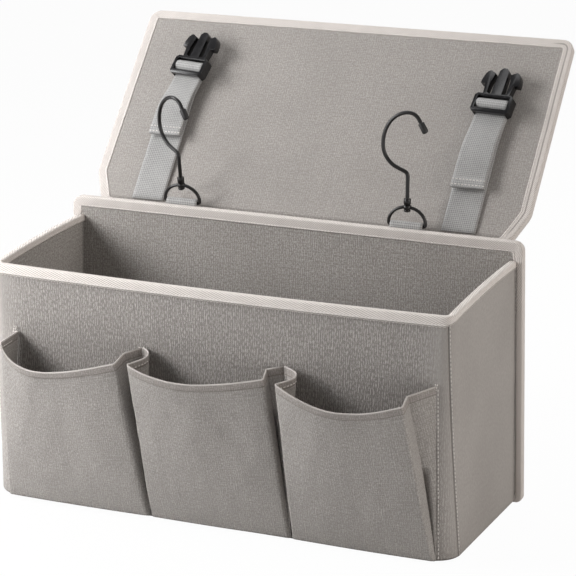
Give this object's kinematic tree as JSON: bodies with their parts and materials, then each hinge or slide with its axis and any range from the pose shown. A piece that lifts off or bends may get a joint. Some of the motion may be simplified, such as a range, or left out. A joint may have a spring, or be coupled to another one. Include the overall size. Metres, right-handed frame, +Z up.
{
  "type": "bedside caddy",
  "caption": "Fabric bedside caddy: a stiff-sided open box with pleated front pockets, a raised back panel, a hinged flap with buckled straps, and wire hooks on D-rings.",
  "frame": {"origin": "middle of the box's underside, on the floor", "axes": "+X to the right seen from the front, -Y towards the front and its pockets, +Z up"},
  "size_m": [0.3594, 0.2925, 0.3117],
  "materials": {
    "linen": "woven, matt",
    "tape": "twill tape, matt",
    "webbing": "woven webbing",
    "board": "stiffener board",
    "plastic": "satin moulded",
    "cap": "dipped, satin",
    "steel": "black, satin"
  },
  "bodies": {
    "box": {"outer_cover": "linen", "lining": "linen", "front_board": "board", "left_board": "board", "right_board": "board", "base_board": "board", "rim_binding": "tape", "back_front_cover": "linen", "back_board": "board", "back_rear_cover": "linen", "back_binding": "tape", "pocket_left": "linen", "pocket_centre": "linen", "pocket_right": "linen", "hinge_strip": "linen", "ring_tab_left": "webbing", "socket_tab_left": "webbing", "ring_tab_right": "webbing", "socket_tab_right": "webbing"},
    "flap": {"flap_front_cover": "linen", "flap_board": "board", "flap_rear_cover": "linen", "flap_binding": "tape"},
    "strap_left": {"strap_left": "webbing"},
    "buckle_left": {"male_buckle_left": "plastic"},
    "ring_left": {"d_ring_left": "steel"},
    "hook_left": {"hook_left": "steel", "hook_collar_left": "steel", "hook_cap_left": "cap"},
    "socket_left": {"socket_left": "plastic"},
    "strap_right": {"strap_right": "webbing"},
    "buckle_right": {"male_buckle_right": "plastic"},
    "ring_right": {"d_ring_right": "steel"},
    "hook_right": {"hook_right": "steel", "hook_collar_right": "steel", "hook_cap_right": "cap"},
    "socket_right": {"socket_right": "plastic"}
  },
  "joints": [
    {"name": "flap_hinge", "type": "hinge", "parent": "box", "child": "flap", "pos_m": [0, 0.0834, 0.1802], "axis": [-1, 0, 0], "range_deg": [-40, 138]},
    {"name": "strap_lift_left", "type": "hinge", "parent": "flap", "child": "strap_left", "pos_m": [-0.1218, 0.08082, 0.18885], "axis": [1, 0, 0], "range_deg": [0, 110]},
    {"name": "buckle_tilt_left", "type": "hinge", "parent": "strap_left", "child": "buckle_left", "pos_m": [-0.11714, 0.14863, 0.27719], "axis": [0.9633, -0.2685, 0.0002], "range_deg": [-3, 6]},
    {"name": "ring_hinge_left", "type": "hinge", "parent": "box", "child": "ring_left", "pos_m": [-0.0892, 0.0736, 0.1918], "axis": [-1, 0, 0], "range_deg": [-76, 44]},
    {"name": "hook_swivel_left", "type": "hinge", "parent": "ring_left", "child": "hook_left", "pos_m": [-0.0892, 0.0736, 0.1918], "axis": [0, -0.1736, 0.9848], "continuous": true},
    {"name": "socket_swing_left", "type": "hinge", "parent": "box", "child": "socket_left", "pos_m": [-0.1218, 0.0756, 0.1135], "axis": [-1, 0, 0], "range_deg": [-90, 0]},
    {"name": "strap_lift_right", "type": "hinge", "parent": "flap", "child": "strap_right", "pos_m": [0.1218, 0.08082, 0.18885], "axis": [1, 0, 0], "range_deg": [0, 110]},
    {"name": "buckle_tilt_right", "type": "hinge", "parent": "strap_right", "child": "buckle_right", "pos_m": [0.12477, 0.14393, 0.26871], "axis": [0.9841, -0.1775, 0.0058], "range_deg": [-3, 6]},
    {"name": "ring_hinge_right", "type": "hinge", "parent": "box", "child": "ring_right", "pos_m": [0.0862, 0.0736, 0.1918], "axis": [-1, 0, 0], "range_deg": [-86, 38]},
    {"name": "hook_swivel_right", "type": "hinge", "parent": "ring_right", "child": "hook_right", "pos_m": [0.0862, 0.0736, 0.1918], "axis": [0, 0, 1], "continuous": true},
    {"name": "socket_swing_right", "type": "hinge", "parent": "box", "child": "socket_right", "pos_m": [0.1218, 0.0756, 0.1135], "axis": [-1, 0, 0], "range_deg": [-90, 0]}
  ]
}
